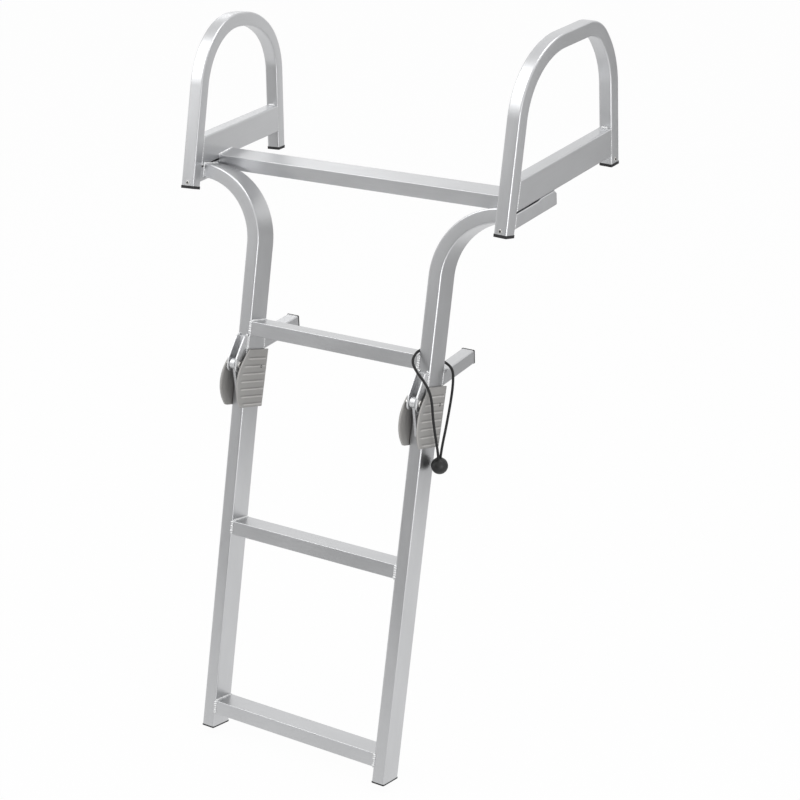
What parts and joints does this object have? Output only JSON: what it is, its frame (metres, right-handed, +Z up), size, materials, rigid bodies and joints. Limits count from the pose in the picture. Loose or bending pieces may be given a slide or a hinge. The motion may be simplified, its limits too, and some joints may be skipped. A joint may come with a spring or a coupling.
{
  "type": "folding boarding ladder",
  "caption": "Folding boat boarding ladder in welded aluminium tube with handrail hoops, steps, hinged lower section and a bungee loop.",
  "frame": {"origin": "middle of the flat underside of the top step, which rests on the deck's edge", "axes": "+X to the right seen from the water, +Y from the water to the deck, +Z up"},
  "size_m": [0.6444, 0.5199, 1.1245],
  "materials": {
    "aluminium": "satin anodised",
    "hinge_aluminium": "tumbled",
    "bolt_steel": "polished stainless",
    "cover_plastic": "moulded, matt",
    "cap_plastic": "moulded, matt",
    "bungee_cover": "braided",
    "ball_plastic": "moulded, satin"
  },
  "bodies": {
    "upper_section": {"handrail_left": "aluminium", "handrail_plate_left": "aluminium", "under_bar_left": "aluminium", "upper_rail_left": "aluminium", "standoff_left": "aluminium", "handrail_front_cap_left": "cap_plastic", "handrail_back_cap_left": "cap_plastic", "standoff_cap_left": "cap_plastic", "hinge_bracket_left": "hinge_aluminium", "pivot_bolt_left": "bolt_steel", "hinge_cover_left": "cover_plastic", "cover_screw_left_inner": "bolt_steel", "cover_screw_left_outer": "bolt_steel", "handrail_right": "aluminium", "handrail_plate_right": "aluminium", "under_bar_right": "aluminium", "upper_rail_right": "aluminium", "standoff_right": "aluminium", "handrail_front_cap_right": "cap_plastic", "handrail_back_cap_right": "cap_plastic", "standoff_cap_right": "cap_plastic", "hinge_bracket_right": "hinge_aluminium", "pivot_bolt_right": "bolt_steel", "hinge_cover_right": "cover_plastic", "cover_screw_right_inner": "bolt_steel", "cover_screw_right_outer": "bolt_steel", "top_step": "aluminium", "second_step": "aluminium", "bungee_cord": "bungee_cover", "bungee_ball": "ball_plastic"},
    "lower_section": {"lower_rail_left": "aluminium", "foot_cap_left": "cap_plastic", "hinge_link_left": "hinge_aluminium", "lower_rail_right": "aluminium", "foot_cap_right": "cap_plastic", "hinge_link_right": "hinge_aluminium", "third_step": "aluminium", "fourth_step": "aluminium"}
  },
  "joints": [
    {"name": "lower_section_fold", "type": "hinge", "parent": "upper_section", "child": "lower_section", "pos_m": [0, -0.16523, -0.26434], "axis": [-1, 0, 0], "range_deg": [0, 180]}
  ]
}
